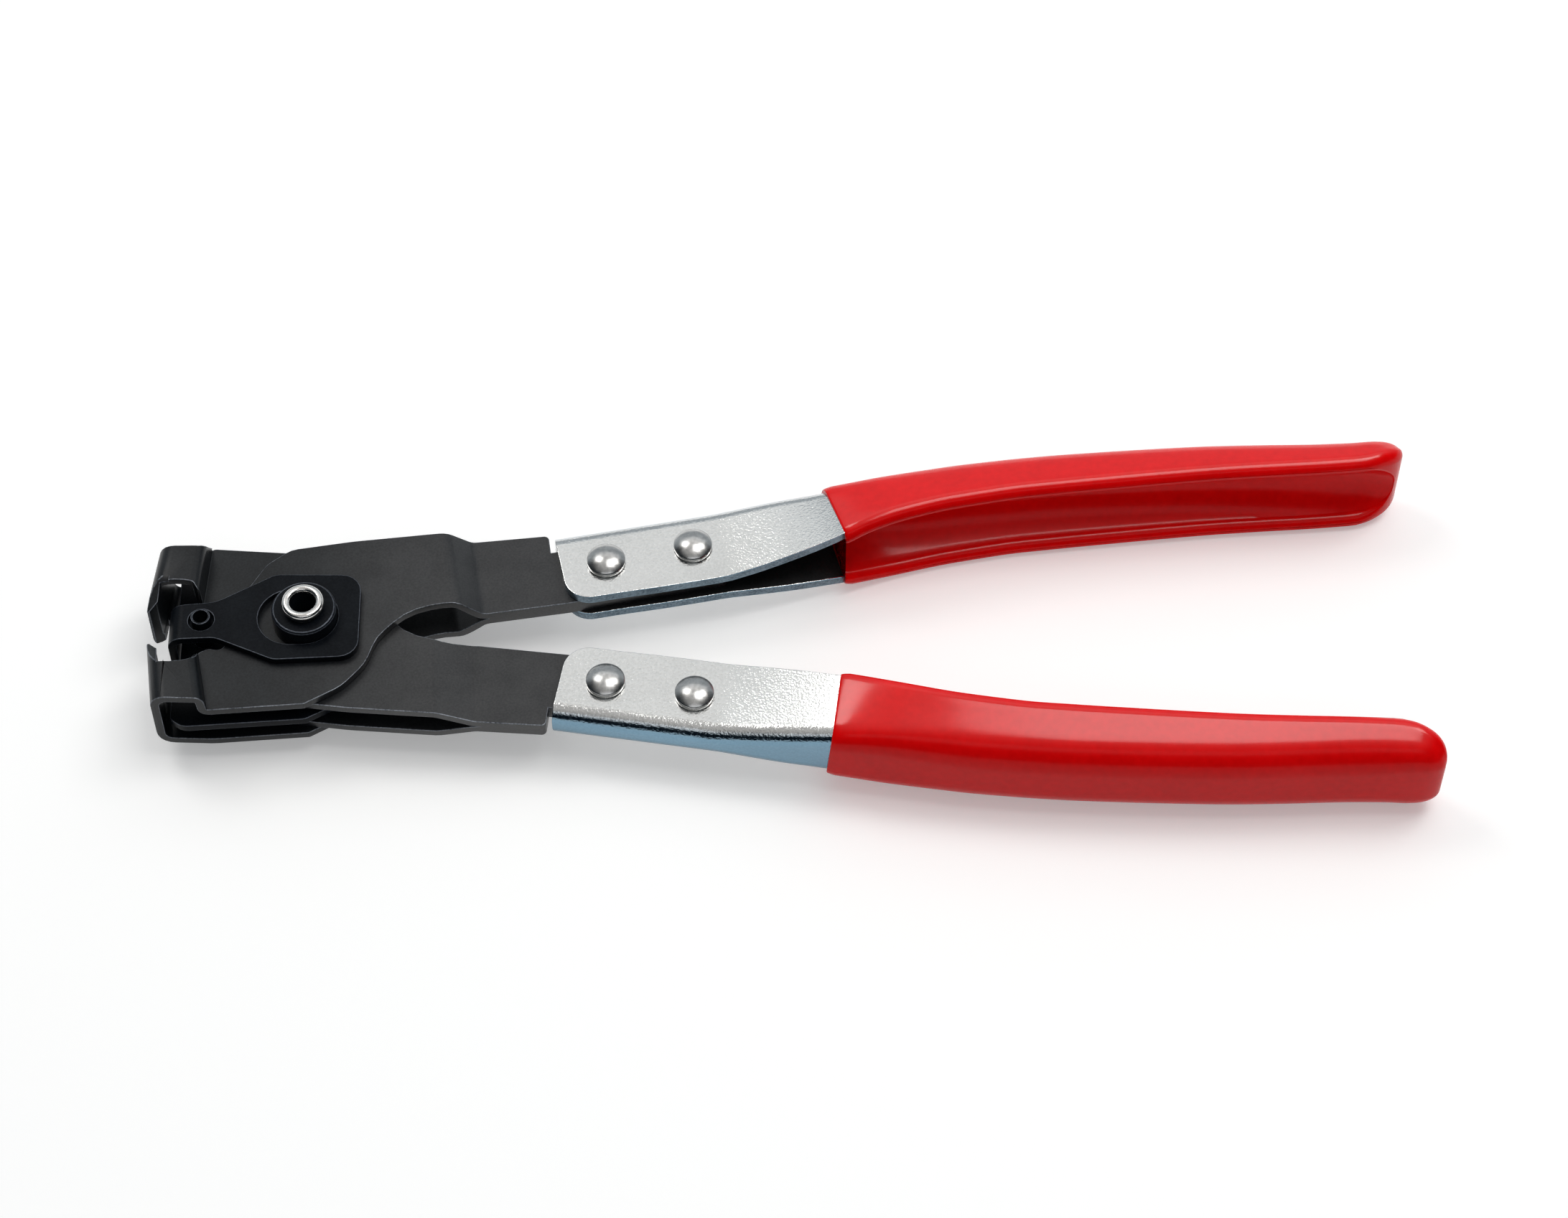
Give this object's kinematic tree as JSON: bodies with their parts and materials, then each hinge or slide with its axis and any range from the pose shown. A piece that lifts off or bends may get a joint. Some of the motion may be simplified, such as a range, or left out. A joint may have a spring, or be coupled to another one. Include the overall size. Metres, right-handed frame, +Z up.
{
  "type": "ear clamp pliers",
  "caption": "Long pliers with folded pincer jaws, a sliding anvil on a hollow pivot and dipped red grips, for crimping the ear of a hose or boot clamp.",
  "frame": {"origin": "centre of the base of the bounding box, on the plane that the lips of the grips rest on", "axes": "+X from the jaws towards the grip ends, +Z up through the pivot, away from the surface the tool lies on"},
  "size_m": [0.2354, 0.0742, 0.0226],
  "materials": {
    "blackened_steel": "matt black oxide",
    "bright_rivet": "bright nickel",
    "satin_rivet": "satin steel",
    "zinc_plate": "bright zinc plate",
    "red_vinyl": "glossy dipped vinyl"
  },
  "bodies": {
    "inner_half": {"inner_jaw": "blackened_steel", "inner_handle_channel": "zinc_plate", "inner_handle_rivet_front": "satin_rivet", "inner_handle_rivet_rear": "satin_rivet", "inner_grip": "red_vinyl"},
    "outer_half": {"outer_jaw": "blackened_steel", "outer_handle_channel": "zinc_plate", "outer_handle_rivet_front": "satin_rivet", "outer_handle_rivet_rear": "satin_rivet", "outer_grip": "red_vinyl"},
    "pivot": {"pivot_rivet": "bright_rivet", "pivot_hub": "blackened_steel", "pivot_washer": "blackened_steel", "spacer_ring_upper": "blackened_steel", "spacer_ring_lower": "blackened_steel"},
    "anvil": {"anvil_strap": "blackened_steel", "anvil_centre_plate": "blackened_steel", "anvil_tie_pin": "blackened_steel"}
  },
  "joints": [
    {"name": "jaw_pivot", "type": "hinge", "parent": "inner_half", "child": "outer_half", "pos_m": [-0.08848, 0, 0.01039], "axis": [0, 0, 1], "range_deg": [-12, 6]},
    {"name": "pivot_turn", "type": "hinge", "parent": "inner_half", "child": "pivot", "pos_m": [-0.08848, 0, 0.01039], "axis": [0, 0, 1], "range_deg": [-6, 3]},
    {"name": "anvil_slide", "type": "slide", "parent": "pivot", "child": "anvil", "axis": [1, 0, 0], "range_m": [0, 0.0026]}
  ],
  "couplings": [
    {"joint": "pivot_turn", "follows": "jaw_pivot", "ratio": 0.5}
  ]
}
